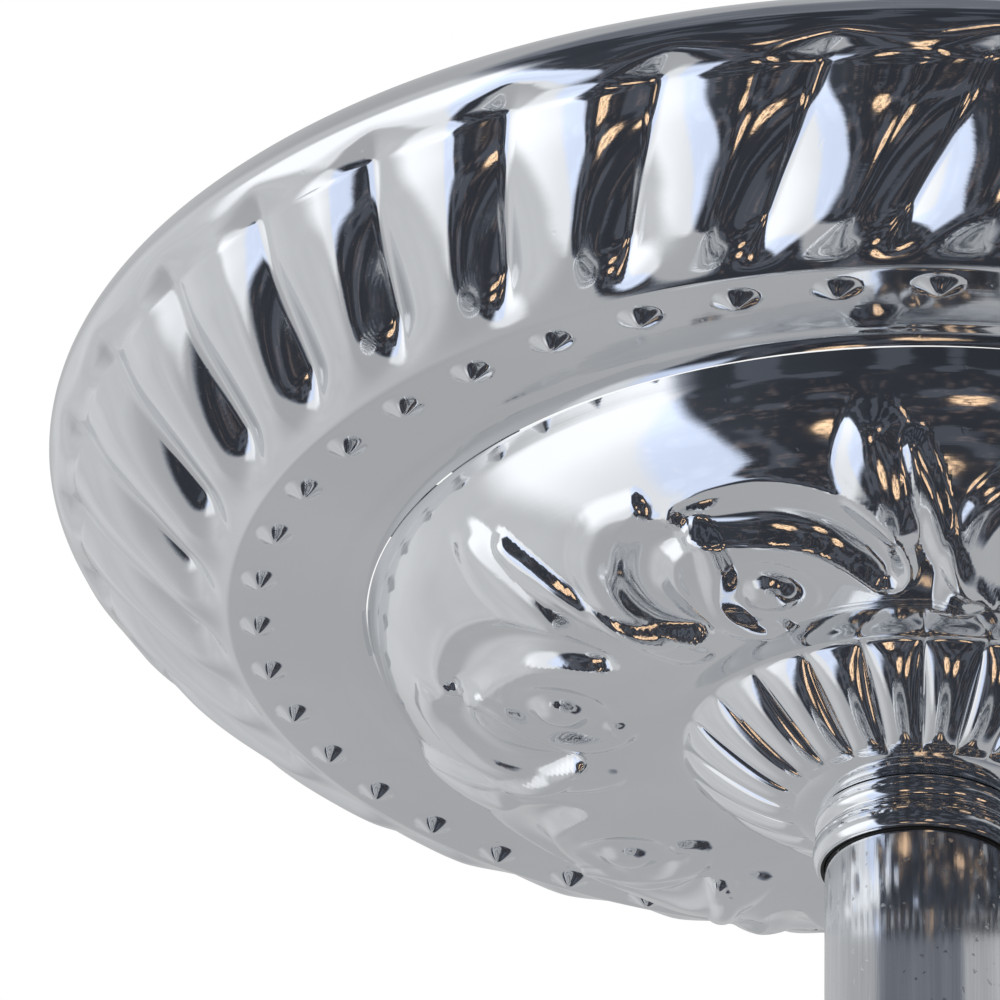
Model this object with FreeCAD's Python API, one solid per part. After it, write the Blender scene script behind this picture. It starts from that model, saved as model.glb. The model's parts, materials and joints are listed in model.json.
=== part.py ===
import FreeCAD, Part
import math
import os

from FreeCAD import Vector

# Hanging electric sanctuary lamp, in millimetres, +Z up.
# The origin is the centre of the ceiling plane, and the lamp hangs along -Z.
# One pressing is used three times: as the canopy, as the crown and as the bowl.

# ---- driving dimensions -------------------------------------------------
# the pressing: a round pan with a rolled rim, a sloping wall, a flat ring, a dome and a boss
SHEET = 0.8                 # thickness of the pressed sheet
RIM_R = 73.2                # radius of the rim's top edge
RIM_BULGE = 1.1             # how far the rolled rim stands out past that edge
RIM_H = 4.8                 # height of the rolled rim
WALL_H = 10.9               # height of the sloping wall
RIDGE_R = 58.35             # corner between the wall and the flat ring
SHOULDER_R = 46.6           # where the flat ring turns down into the dome
DOME_R = 36.4               # where the dome's shoulder ends
DOME_DROP = 10.2            # depth of that place under the flat ring
BELLY_DROP = 12.6           # deepest place of the dome
BOSS_R = 20.0               # where the reeded boss starts
BOSS_START_DROP = 11.2
BOSS_DROP = 17.9            # depth of the boss's flat end under the flat ring

# the stem
TUBE_R = 7.9
TUBE_WALL = 0.9
STEM_LOW_Z = -236.6         # where the stem stands on the crown plate
RING_WALL = 1.0             # how far the turned rings reach out past the tube
RING_H = 4.7
BOTTOM_PLUG_H = 6.0
CROWN_BOLT_R = 4.0
CROWN_BOLT_HEAD_R = 9.0
CROWN_BOLT_HEAD_H = 5.0

# the ceiling strap
STRAP_W = 18.0
STRAP_T = 1.5
STRAP_DROP = 20.0           # from the ceiling to the top of the web
STRAP_WEB_HALF = 30.0
STRAP_FOOT_IN = 34.0
STRAP_FOOT_OUT = 54.0
SCREW_SPACING = 89.0        # 3 1/2 inch ceiling box
SLOT_L = 12.0
SLOT_W = 4.8
EARTH_X = 21.0              # earth screw
EARTH_R = 2.05
BLOCK_X0 = -27.0            # terminal block
BLOCK_X1 = -14.0
BLOCK_HALF_W = 8.0
BLOCK_H = 15.5

# threads, drawn plain
NIPPLE_R = 5.0              # M10 lamp thread
NIPPLE_BORE_R = 3.2
NUT_AF = 14.0
NUT_H = 4.0
ROD_R = 3.0                 # M6
ROD_BORE_R = 2.0
ROD_NUT_AF = 10.0

# the cage
PLATE_T = 1.2
ROD_INSET = 0.5             # how far inside midway between the glass and the plates' edge the rods stand
ROD_COUNT = 3
CAGE_H = 150.2              # clear height between the crown plate and the gallery plate

# the ruby glass
GLASS_FOOT_R = 43.0
GLASS_BELLY_R = 48.0
GLASS_MOUTH_R = 40.0
GLASS_WALL = 3.0
GLASS_H = 118.0
GLASS_FOOT_H = 9.0          # straight foot that stands in the gallery ring
GASKET_T = 1.5
GALLERY_RING_H = 8.0
GALLERY_RING_T = 2.4

# the lampholder, candle sleeve and bulb (small Edison screw)
SLEEVE_R = 15.5
SLEEVE_T = 1.2
SLEEVE_H = 48.0
HOLDER_R = 12.5
HOLDER_H = 14.0
SHELL_R = 9.0
SHELL_H = 26.0
CAP_R = 6.8
CAP_H = 25.0
BULB_R = 17.5
BULB_H = 62.0

# the lead
LEAD_R = 1.5
LEAD_BEND_R = 8.0
LEAD_UP_X = 11.0            # where the lead goes up through the gallery plate
GROMMET_WAIST_R = 2.4
GROMMET_FLANGE_R = 2.9
GROMMET_FLANGE_T = 0.8

# the finial
FINIAL_R = 13.0
FINIAL_H = 30.0

# clearances
CEILING_GAP = 0.3           # canopy rim to ceiling
SLIDE_GAP = 0.06            # canopy ring on the stem
THREAD_GAP = 0.05           # plain-drawn threads
HOLE_GAP = 0.45             # pan hole round the stem
SEAT_GAP = 0.1              # between faces that only rest on each other

# ---- levels, worked out from the dimensions -----------------------------
PAN_RISE = WALL_H + RIM_H
CANOPY_Z = -(CEILING_GAP + PAN_RISE)            # level of the canopy's flat ring
BOSS_HOLE_R = TUBE_R + HOLE_GAP
RING_TOP = -SEAT_GAP                            # the ring's own top, from the boss's end
RING_R = TUBE_R + RING_WALL
SEAL_T = 0.4

WEB_TOP = -STRAP_DROP
WEB_LOW = WEB_TOP - STRAP_T
WASHER_T = 1.0
LOW_NUT_TOP = WEB_LOW - WASHER_T
TUBE_TOP = LOW_NUT_TOP - NUT_H
PLUG_L = 15.0
NIPPLE_TOP = WEB_TOP + NUT_H + 0.5
NIPPLE_LOW = TUBE_TOP - PLUG_L + 1.0

PLATE_R = RIM_R - 0.2                           # the plates reach over the pans' rims
ROD_CIRCLE_R = (GLASS_BELLY_R + PLATE_R) / 2 - ROD_INSET
CROWN_RIM_Z = STEM_LOW_Z                        # the crown's rim stands on the crown plate
CROWN_Z = CROWN_RIM_Z + PAN_RISE                # level of the crown's flat ring
CROWN_TOP = CROWN_Z + BOSS_DROP
CROWN_PLATE_LOW = CROWN_RIM_Z - PLATE_T
GALLERY_Z = CROWN_PLATE_LOW - CAGE_H            # top of the gallery plate
GALLERY_LOW = GALLERY_Z - PLATE_T
BOWL_RIM_Z = GALLERY_LOW - SEAT_GAP
BOWL_Z = BOWL_RIM_Z - PAN_RISE
BOWL_LOW = BOWL_Z - BOSS_DROP
ROD_NUT_H = 4.0
ROD_TOP = CROWN_RIM_Z + ROD_NUT_H + 0.4
ROD_LOW = GALLERY_LOW - ROD_NUT_H - 0.4
FINIAL_TOP = BOWL_LOW - SEAT_GAP
CENTRE_TUBE_LOW = FINIAL_TOP - 14.0
HOLDER_LOW = GALLERY_Z + NUT_H
CAP_LOW = HOLDER_LOW + HOLDER_H + 1.0
BULB_LOW = CAP_LOW + CAP_H
LEAD_TOP_Z = WEB_TOP + BLOCK_H - 2.5            # where the lead enters the terminal block
LEAD_CROWN_Z = CROWN_Z - SHEET - LEAD_R - 0.8   # the lead's level inside the crown
LEAD_BOWL_Z = ROD_LOW - 0.4 - LEAD_BEND_R       # and inside the bowl

Z_AXIS = Vector(0, 0, 1)
ORIGIN = Vector(0, 0, 0)


# ---- small helpers --------------------------------------------------------
def p(x, z):
    """A point of an outline in the XZ plane."""
    return Vector(x, 0, z)


def line(a, b):
    return Part.LineSegment(a, b).toShape()


def arc(a, through, b):
    return Part.Arc(a, through, b).toShape()


def curve(*poles):
    """A Bezier edge, level with its last leg where it meets the axis."""
    bezier = Part.BezierCurve()
    bezier.setPoles(list(poles))
    return bezier.toShape()


def turned(edges):
    """The solid that a closed outline sweeps round the Z axis."""
    return Part.Face(Part.Wire(edges)).revolve(ORIGIN, Z_AXIS, 360)


def turned_outline(points):
    """The same for an outline of straight edges."""
    closed = points + points[:1]
    return turned([line(a, b) for a, b in zip(closed, closed[1:])])


def cylinder(r, z_low, z_high, x=0.0, y=0.0):
    return Part.makeCylinder(r, z_high - z_low, Vector(x, y, z_low))


def tube(r_out, r_in, z_low, z_high, x=0.0, y=0.0):
    return cylinder(r_out, z_low, z_high, x, y).cut(cylinder(r_in, z_low - 1, z_high + 1, x, y))


def block(x0, x1, y0, y1, z0, z1):
    return Part.makeBox(x1 - x0, y1 - y0, z1 - z0, Vector(x0, y0, z0))


def hexagon_nut(af, bore_r, z_low, height, x=0.0, y=0.0):
    """A nut with two flats square to X."""
    corner = af / math.sqrt(3)
    points = []
    for k in range(7):
        a = math.radians(60 * k + 30)
        points.append(Vector(x + corner * math.cos(a), y + corner * math.sin(a), z_low))
    body = Part.Face(Part.makePolygon(points)).extrude(Vector(0, 0, height))
    return body.cut(cylinder(bore_r, z_low - 1, z_low + height + 1, x, y))


def rod_places():
    """Where the cage rods stand: the first on +X, the others evenly round."""
    for k in range(ROD_COUNT):
        a = 2 * math.pi * k / ROD_COUNT
        yield ROD_CIRCLE_R * math.cos(a), ROD_CIRCLE_R * math.sin(a)


def save(name, shape):
    if not shape.isValid():
        raise ValueError(name + " is not a valid shape")
    shape.exportStep("parts/" + name + ".step")


# ---- the pressing ---------------------------------------------------------
def pan():
    """The pressed pan with its flat ring at z 0, its mouth up and its boss down."""
    wall_top = p(RIM_R - 1.5, WALL_H)
    ridge = p(RIDGE_R, 0)
    wall_mid = p((RIDGE_R + wall_top.x) / 2 + 0.45, WALL_H / 2 - 0.55)
    shoulder = p(SHOULDER_R, 0)
    dome = p(DOME_R, -DOME_DROP)
    boss = p(BOSS_R, -BOSS_START_DROP)
    boss_end = p(BOSS_HOLE_R, -BOSS_DROP)
    outline = Part.Wire([
        arc(p(RIM_R, PAN_RISE), p(RIM_R + RIM_BULGE, WALL_H + RIM_H / 2), wall_top),
        arc(wall_top, wall_mid, ridge),
        line(ridge, shoulder),
        arc(shoulder, p((SHOULDER_R + DOME_R) / 2 + 1.8, -DOME_DROP / 2 - 1.0), dome),
        arc(dome, p((DOME_R + BOSS_R) / 2, -BELLY_DROP), boss),
        arc(boss, p((BOSS_R + BOSS_HOLE_R) / 2 + 0.8, -(BOSS_START_DROP + BOSS_DROP) / 2 - 0.5), boss_end),
    ])
    inner = outline.makeOffset2D(-SHEET, 1, False, True)
    ends = [v.Point for v in outline.OrderedVertexes]
    inner_ends = [v.Point for v in inner.OrderedVertexes]
    if (inner_ends[0] - ends[0]).Length > (inner_ends[-1] - ends[0]).Length:
        inner_ends.reverse()
    edges = outline.Edges + inner.Edges
    edges += [line(ends[0], inner_ends[0]), line(ends[-1], inner_ends[-1])]
    return turned(Part.__sortEdges__(edges)).cut(cylinder(BOSS_HOLE_R, -BOSS_DROP - 1, 0))


def check_ring():
    """The turned ring under the boss, with its top at z 0: a bead, a groove and a lip."""
    bore = TUBE_R + SLIDE_GAP
    seat = bore + SEAL_T
    bead_low = -RING_H * 0.36
    lip_top = -RING_H * 0.53
    mid_r = RING_R - 0.45
    return turned([
        line(p(bore, 0), p(mid_r - 0.1, 0)),
        arc(p(mid_r - 0.1, 0), p(RING_R - 0.15, bead_low / 2), p(mid_r - 0.1, bead_low)),
        line(p(mid_r - 0.1, bead_low), p(mid_r, lip_top)),
        arc(p(mid_r, lip_top), p(RING_R, (lip_top - RING_H) / 2), p(mid_r, -RING_H)),
        line(p(mid_r, -RING_H), p(seat, -RING_H)),
        line(p(seat, -RING_H), p(seat, -RING_H + 0.9)),
        line(p(seat, -RING_H + 0.9), p(bore, -RING_H + 0.9)),
        line(p(bore, -RING_H + 0.9), p(bore, 0)),
    ])


def moved(shape, z, upside_down=False):
    if upside_down:
        shape = shape.copy()
        shape.rotate(ORIGIN, Vector(1, 0, 0), 180)
    return shape.translated(Vector(0, 0, z))


def make_pans():
    save("canopy_pan", moved(pan(), CANOPY_Z))
    save("crown_pan", moved(pan(), CROWN_Z, True))
    save("bowl_pan", moved(pan(), BOWL_Z))


def make_rings():
    ring_top = CANOPY_Z - BOSS_DROP + RING_TOP
    save("canopy_ring", moved(check_ring(), ring_top))
    save("crown_ring", moved(check_ring(), CROWN_TOP, True))
    seal_r = TUBE_R + SLIDE_GAP + SEAL_T - 0.02
    seal_low = ring_top - RING_H + 0.05
    save("ring_seal", tube(seal_r, TUBE_R + SLIDE_GAP / 2, seal_low, seal_low + 0.8))


# ---- what holds the lamp to the ceiling -----------------------------------
def make_strap():
    half = STRAP_W / 2
    leg_out = STRAP_FOOT_IN
    solid = block(-STRAP_WEB_HALF, STRAP_WEB_HALF, -half, half, WEB_LOW, WEB_TOP)
    for side in (1, -1):
        foot = [p(side * x, z) for x, z in (
            (STRAP_WEB_HALF - STRAP_T, WEB_LOW), (STRAP_WEB_HALF, WEB_LOW),
            (leg_out + STRAP_T, -STRAP_T), (STRAP_FOOT_OUT, -STRAP_T), (STRAP_FOOT_OUT, 0),
            (leg_out, 0), (STRAP_WEB_HALF - STRAP_T, WEB_TOP))]
        face = Part.Face(Part.makePolygon(foot + foot[:1]))
        solid = solid.fuse(face.extrude(Vector(0, STRAP_W, 0)).translated(Vector(0, -half, 0)))
        centre = side * SCREW_SPACING / 2
        run = (SLOT_L - SLOT_W) / 2
        slot = block(centre - run, centre + run, -SLOT_W / 2, SLOT_W / 2, -STRAP_T - 1, 1)
        for end in (-run, run):
            slot = slot.fuse(cylinder(SLOT_W / 2, -STRAP_T - 1, 1, centre + end))
        solid = solid.cut(slot)
    solid = solid.removeSplitter()
    solid = solid.cut(cylinder(NIPPLE_R + THREAD_GAP, WEB_LOW - 1, WEB_TOP + 1))
    solid = solid.cut(cylinder(EARTH_R, WEB_LOW - 1, WEB_TOP + 1, EARTH_X))
    save("ceiling_strap", solid)


def make_ceiling_fittings():
    nipple = tube(NIPPLE_R, NIPPLE_BORE_R, NIPPLE_LOW, NIPPLE_TOP)
    save("top_nipple", nipple)
    bore = NIPPLE_R + THREAD_GAP
    nuts = [hexagon_nut(NUT_AF, bore, WEB_TOP, NUT_H), hexagon_nut(NUT_AF, bore, TUBE_TOP, NUT_H)]
    save("strap_nuts", Part.makeCompound(nuts))
    save("strap_lock_washer", tube(NUT_AF / 2 + 1.5, bore, LOW_NUT_TOP, WEB_LOW))
    body = block(BLOCK_X0, BLOCK_X1, -BLOCK_HALF_W, BLOCK_HALF_W, WEB_TOP, WEB_TOP + BLOCK_H)
    screws = []
    for y in (-4.0, 4.0):
        x = (BLOCK_X0 + BLOCK_X1) / 2 - 2
        top = WEB_TOP + BLOCK_H
        body = body.cut(cylinder(2.2, top - 5, top + 1, x, y))
        screw = cylinder(2.0, top - 5, top - 1.2, x, y)
        slot = block(x - 3, x + 3, y - 0.3, y + 0.3, top - 2.0, top)
        screws.append(screw.cut(slot))
    lead_hole = Part.makeCylinder(LEAD_R + THREAD_GAP, 4, Vector(BLOCK_X1 - 4, 0, LEAD_TOP_Z), Vector(1, 0, 0))
    save("terminal_block", body.cut(lead_hole))
    save("terminal_screws", Part.makeCompound(screws))
    head = cylinder(EARTH_R * 1.9, WEB_TOP, WEB_TOP + 2.4, EARTH_X)
    shank = cylinder(EARTH_R - THREAD_GAP, WEB_LOW - 2.5, WEB_TOP + 1, EARTH_X)
    slot = block(EARTH_X - 5, EARTH_X + 5, -0.4, 0.4, WEB_TOP + 1.4, WEB_TOP + 3)
    save("earth_screw", head.fuse(shank).removeSplitter().cut(slot))


# ---- the stem -------------------------------------------------------------
def make_stem():
    tube_in = TUBE_R - TUBE_WALL
    stem = tube(TUBE_R, tube_in, STEM_LOW_Z, TUBE_TOP)
    side_hole = Part.makeCylinder(LEAD_R + 0.6, TUBE_R + 2, Vector(0, 0, LEAD_CROWN_Z), Vector(1, 0, 0))
    save("stem_tube", stem.cut(side_hole))
    plug_r = tube_in - 0.02
    save("stem_top_plug", tube(plug_r, NIPPLE_R + THREAD_GAP, TUBE_TOP - PLUG_L, TUBE_TOP))
    save("stem_bottom_plug", tube(plug_r, CROWN_BOLT_R + THREAD_GAP, STEM_LOW_Z, STEM_LOW_Z + BOTTOM_PLUG_H))
    seat = CROWN_PLATE_LOW
    head_z = seat - CROWN_BOLT_HEAD_H
    head_r = CROWN_BOLT_HEAD_R
    shank_top = STEM_LOW_Z + BOTTOM_PLUG_H - 0.5
    save("crown_bolt", turned([
        line(p(0, shank_top), p(CROWN_BOLT_R, shank_top)),
        line(p(CROWN_BOLT_R, shank_top), p(CROWN_BOLT_R, seat)),
        line(p(CROWN_BOLT_R, seat), p(head_r, seat)),
        line(p(head_r, seat), p(head_r, seat - 1.0)),
        curve(p(head_r, seat - 1.0), p(head_r, head_z), p(head_r * 0.5, head_z), p(0, head_z)),
        line(p(0, head_z), p(0, shank_top)),
    ]))


# ---- the cage ---------------------------------------------------------------
def make_cage():
    hole_r = ROD_R + THREAD_GAP
    crown_plate = tube(PLATE_R, CROWN_BOLT_R + THREAD_GAP, CROWN_PLATE_LOW, CROWN_RIM_Z)
    gallery_plate = tube(PLATE_R, NIPPLE_R + THREAD_GAP, GALLERY_LOW, GALLERY_Z)
    top_nuts = []
    low_nuts = []
    for k, (x, y) in enumerate(rod_places(), 1):
        crown_plate = crown_plate.cut(cylinder(hole_r, CROWN_PLATE_LOW - 1, CROWN_RIM_Z + 1, x, y))
        gallery_plate = gallery_plate.cut(cylinder(hole_r, GALLERY_LOW - 1, GALLERY_Z + 1, x, y))
        save("cage_rod_%d" % k, tube(ROD_R, ROD_BORE_R, ROD_LOW, ROD_TOP, x, y))
        for nuts, z in ((top_nuts, CROWN_RIM_Z), (top_nuts, CROWN_PLATE_LOW - ROD_NUT_H),
                        (low_nuts, GALLERY_Z), (low_nuts, GALLERY_LOW - ROD_NUT_H)):
            nuts.append(hexagon_nut(ROD_NUT_AF, hole_r, z, ROD_NUT_H, x, y))
    lead_hole = cylinder(GROMMET_WAIST_R + THREAD_GAP, GALLERY_LOW - 1, GALLERY_Z + 1, LEAD_UP_X)
    save("crown_plate", crown_plate)
    save("gallery_plate", gallery_plate.cut(lead_hole))
    save("rod_top_nuts", Part.makeCompound(top_nuts))
    save("rod_bottom_nuts", Part.makeCompound(low_nuts))


def make_grommet():
    bore = LEAD_R + THREAD_GAP
    low, high = GALLERY_LOW - GROMMET_FLANGE_T, GALLERY_Z + GROMMET_FLANGE_T
    outline = [(bore, low), (GROMMET_FLANGE_R, low), (GROMMET_FLANGE_R, GALLERY_LOW),
               (GROMMET_WAIST_R, GALLERY_LOW), (GROMMET_WAIST_R, GALLERY_Z),
               (GROMMET_FLANGE_R, GALLERY_Z), (GROMMET_FLANGE_R, high), (bore, high)]
    grommet = turned_outline([p(x, z) for x, z in outline])
    save("lead_grommet", grommet.translated(Vector(LEAD_UP_X, 0, 0)))


def make_gallery():
    ring_in = GLASS_FOOT_R + 0.6
    ring = tube(ring_in + GALLERY_RING_T, ring_in, GALLERY_Z, GALLERY_Z + GALLERY_RING_H)
    save("gallery_ring", ring)
    save("glass_gasket", tube(GLASS_FOOT_R, GLASS_FOOT_R - GLASS_WALL - 1.5, GALLERY_Z, GALLERY_Z + GASKET_T))
    nuts = [hexagon_nut(NUT_AF, NIPPLE_R + THREAD_GAP, z, NUT_H) for z in (GALLERY_Z, GALLERY_LOW - NUT_H)]
    save("gallery_nuts", Part.makeCompound(nuts))
    save("centre_tube", tube(NIPPLE_R, NIPPLE_BORE_R, CENTRE_TUBE_LOW, HOLDER_LOW + 6.0))


def make_glass():
    """The ruby glass: a belly between a foot and a mouth, with a rounded lip."""
    low = GALLERY_Z + GASKET_T + SEAT_GAP
    high = low + GLASS_H
    foot = low + GLASS_FOOT_H
    mid = low + GLASS_H * 0.45
    half = GLASS_WALL / 2
    save("ruby_glass", turned([
        line(p(GLASS_FOOT_R, low), p(GLASS_FOOT_R, foot)),
        arc(p(GLASS_FOOT_R, foot), p(GLASS_BELLY_R, mid), p(GLASS_MOUTH_R, high)),
        arc(p(GLASS_MOUTH_R, high), p(GLASS_MOUTH_R - half, high + half), p(GLASS_MOUTH_R - GLASS_WALL, high)),
        arc(p(GLASS_MOUTH_R - GLASS_WALL, high), p(GLASS_BELLY_R - GLASS_WALL, mid),
            p(GLASS_FOOT_R - GLASS_WALL, foot)),
        line(p(GLASS_FOOT_R - GLASS_WALL, foot), p(GLASS_FOOT_R - GLASS_WALL, low)),
        line(p(GLASS_FOOT_R - GLASS_WALL, low), p(GLASS_FOOT_R, low)),
    ]))


# ---- the lampholder, the candle sleeve and the bulb -------------------------
def make_lampholder():
    body = cylinder(HOLDER_R, HOLDER_LOW, HOLDER_LOW + HOLDER_H)
    body = body.cut(cylinder(NIPPLE_R + THREAD_GAP, HOLDER_LOW - 1, HOLDER_LOW + 6.0))
    body = body.cut(cylinder(LEAD_R + THREAD_GAP, HOLDER_LOW - 1, HOLDER_LOW + 3.0, LEAD_UP_X))
    save("lampholder_body", body)
    shell_low = HOLDER_LOW + HOLDER_H
    save("lampholder_shell", tube(SHELL_R, CAP_R + 0.3, shell_low, shell_low + SHELL_H))
    save("candle_sleeve", tube(SLEEVE_R, SLEEVE_R - SLEEVE_T, GALLERY_Z, GALLERY_Z + SLEEVE_H))


def make_bulb():
    save("bulb_cap", turned([
        line(p(0, CAP_LOW), p(3.0, CAP_LOW)),
        line(p(3.0, CAP_LOW), p(CAP_R, CAP_LOW + 4.0)),
        line(p(CAP_R, CAP_LOW + 4.0), p(CAP_R, BULB_LOW)),
        line(p(CAP_R, BULB_LOW), p(0, BULB_LOW)),
        line(p(0, BULB_LOW), p(0, CAP_LOW)),
    ]))
    neck = CAP_R + 0.4
    wide = BULB_LOW + BULB_H * 0.38
    tip = BULB_LOW + BULB_H
    high = (wide + tip) / 2
    tip_r = BULB_R * 0.25
    wall = 0.8
    save("bulb_glass", turned([
        line(p(neck, BULB_LOW), p(neck, BULB_LOW + 4)),
        arc(p(neck, BULB_LOW + 4), p(BULB_R * 0.78, BULB_LOW + BULB_H * 0.2), p(BULB_R, wide)),
        curve(p(BULB_R, wide), p(BULB_R, high), p(tip_r, tip), p(0, tip)),
        line(p(0, tip), p(0, tip - wall)),
        curve(p(0, tip - wall), p(tip_r, tip - wall), p(BULB_R - wall, high), p(BULB_R - wall, wide)),
        arc(p(BULB_R - wall, wide), p(BULB_R * 0.78 - wall, BULB_LOW + BULB_H * 0.21), p(neck - wall, BULB_LOW + 4)),
        line(p(neck - wall, BULB_LOW + 4), p(neck - wall, BULB_LOW)),
        line(p(neck - wall, BULB_LOW), p(neck, BULB_LOW)),
    ]))
    post_top = BULB_LOW + BULB_H * 0.62
    save("bulb_filament", cylinder(2.2, BULB_LOW, BULB_LOW + 12).fuse(
        cylinder(1.4, BULB_LOW + 12, post_top)).removeSplitter())


# ---- the lead inside the lamp ------------------------------------------------
def rounded_path(points, radius):
    """Straight runs joined by tangent arcs of one radius."""
    edges = []
    start = points[0]
    for before, corner, after in zip(points, points[1:], points[2:]):
        arrive = (corner - before).normalize()
        leave = (after - corner).normalize()
        setback = radius * math.tan(arrive.getAngle(leave) / 2)
        a = corner - arrive * setback
        b = corner + leave * setback
        middle = corner + (leave - arrive).normalize() * (math.hypot(radius, setback) - radius)
        edges += [line(start, a), arc(a, middle, b)]
        start = b
    edges.append(line(start, points[-1]))
    return Part.Wire(edges)


def make_lead():
    route = [p(BLOCK_X1 - 3.5, LEAD_TOP_Z), p(0, LEAD_TOP_Z), p(0, LEAD_CROWN_Z),
             p(ROD_CIRCLE_R, LEAD_CROWN_Z), p(ROD_CIRCLE_R, LEAD_BOWL_Z), p(LEAD_UP_X, LEAD_BOWL_Z),
             p(LEAD_UP_X, HOLDER_LOW + 2.5)]
    path = rounded_path(route, LEAD_BEND_R)
    section = Part.Wire(Part.makeCircle(LEAD_R, route[0], Vector(1, 0, 0)))
    lead = path.makePipeShell([section], True, True)
    expected = math.pi * LEAD_R ** 2 * path.Length
    print("lead: length %.1f, bend radius %.1f, volume %.4f of section times length"
          % (path.Length, LEAD_BEND_R, lead.Volume / expected))
    save("supply_lead", lead)


# ---- the finial ---------------------------------------------------------------
def make_finial():
    low = FINIAL_TOP - FINIAL_H
    neck_z = FINIAL_TOP - 6.0
    tip_r = 3.0
    tip_z = low + 1.6 * tip_r
    ball_z = (neck_z + tip_z) / 2 + 0.5
    solid = turned([
        line(p(0, FINIAL_TOP), p(10.5, FINIAL_TOP)),
        arc(p(10.5, FINIAL_TOP), p(11.7, FINIAL_TOP - 1.4), p(10.0, FINIAL_TOP - 2.8)),
        arc(p(10.0, FINIAL_TOP - 2.8), p(6.9, neck_z + 1.2), p(6.2, neck_z)),
        arc(p(6.2, neck_z), p(FINIAL_R, ball_z), p(0.8 * tip_r, tip_z)),
        arc(p(0.8 * tip_r, tip_z), p(tip_r, low + tip_r), p(0, low)),
        line(p(0, low), p(0, FINIAL_TOP)),
    ])
    bore = cylinder(NIPPLE_R + THREAD_GAP, CENTRE_TUBE_LOW - 0.5, FINIAL_TOP + 1)
    save("finial", solid.cut(bore))


os.makedirs("parts", exist_ok=True)
make_pans()
make_rings()
make_strap()
make_ceiling_fittings()
make_stem()
make_cage()
make_grommet()
make_gallery()
make_glass()
make_lampholder()
make_bulb()
make_lead()
make_finial()
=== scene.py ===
import json
import math

import bpy
import numpy as np
from mathutils import Matrix, Vector


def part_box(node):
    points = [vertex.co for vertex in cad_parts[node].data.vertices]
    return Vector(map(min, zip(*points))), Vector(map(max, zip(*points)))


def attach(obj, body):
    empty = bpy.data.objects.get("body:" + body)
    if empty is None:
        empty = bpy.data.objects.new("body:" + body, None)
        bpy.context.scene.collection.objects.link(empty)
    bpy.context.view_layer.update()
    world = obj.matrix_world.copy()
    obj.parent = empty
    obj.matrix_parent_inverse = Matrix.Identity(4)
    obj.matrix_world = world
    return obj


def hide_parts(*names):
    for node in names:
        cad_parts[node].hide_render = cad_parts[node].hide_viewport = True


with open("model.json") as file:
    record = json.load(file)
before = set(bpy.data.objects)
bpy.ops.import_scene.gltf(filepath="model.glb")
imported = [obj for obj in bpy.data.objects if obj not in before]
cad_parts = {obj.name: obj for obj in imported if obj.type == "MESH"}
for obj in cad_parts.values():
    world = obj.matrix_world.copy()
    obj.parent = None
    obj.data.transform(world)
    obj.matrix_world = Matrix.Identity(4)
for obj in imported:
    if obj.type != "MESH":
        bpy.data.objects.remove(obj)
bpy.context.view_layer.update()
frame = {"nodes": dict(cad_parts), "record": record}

bl_info = {
    "name": "Sanctuary Lamp",
    "version": (1, 0, 0),
    "blender": (4, 5, 0),
    "location": "View3D > Sidebar > Lamp",
    "description": "Builds the looks of a hanging chromed sanctuary lamp round its CAD frame",
    "category": "Add Mesh",
}

# ---- sizes of the construction, in metres ----------------------------------
MM = 0.001
NODE_BODY = {n: body for body, members in frame["record"]["behaviour"]["bodies"].items() for n in members}
SLIDE_GAP = 0.00006                             # between the stem and the turned rings
TUBE_WALL = 0.0009
GLASS_FOOT_R, GLASS_MOUTH_R, GLASS_WALL = 0.043, 0.040, 0.003
SLEEVE_WALL = 0.0012
GALLERY_WALL = 0.0024
ROD_BORE_R = 0.002
BOLT_R = 0.004
PLATE_HOLES = {"crown_plate": 0.00405, "gallery_plate": 0.00505}
FINIAL_BORE_R = 0.0051
BULB_WALL = 0.0008

# The pressing, in millimetres from the middle of its flat ring, mouth up and boss down.
PAN_RISE = 15.7                                 # ring to mouth
SHEET = 0.8
PATTERN_R = 56.0                                # the circle of beads, and the unit of the relief
RIDGE_R = 58.35
SHOULDER_R = 46.6
GROOVE_R = 71.7                                 # where the rolled rim starts
DOME = [(46.6, 0.0), (46.35, -0.7), (45.9, -1.9), (44.8, -3.9), (43.1, -6.0), (40.9, -8.1), (38.3, -10.0),
        (35.2, -11.5), (31.8, -12.35), (28.0, -12.6), (24.0, -12.1), (20.7, -11.4), (19.3, -11.6),
        (16.8, -13.2), (13.0, -15.7), (10.6, -17.1), (8.36, -17.9)]
WALL = [(61.2, 1.85), (64.0, 3.75), (66.8, 5.85), (69.4, 8.2), (71.1, 10.2), (71.75, 11.0)]
RIM = [(72.6, 11.35), (73.6, 12.0), (74.2, 13.1), (74.25, 14.1), (73.9, 15.0), (73.2, 15.6), (72.7, 15.68)]

CANOPY_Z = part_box("canopy_pan")[1].z - PAN_RISE * MM    # levels of the three flat rings
CROWN_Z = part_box("crown_pan")[0].z + PAN_RISE * MM
BOWL_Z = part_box("bowl_pan")[1].z - PAN_RISE * MM


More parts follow.
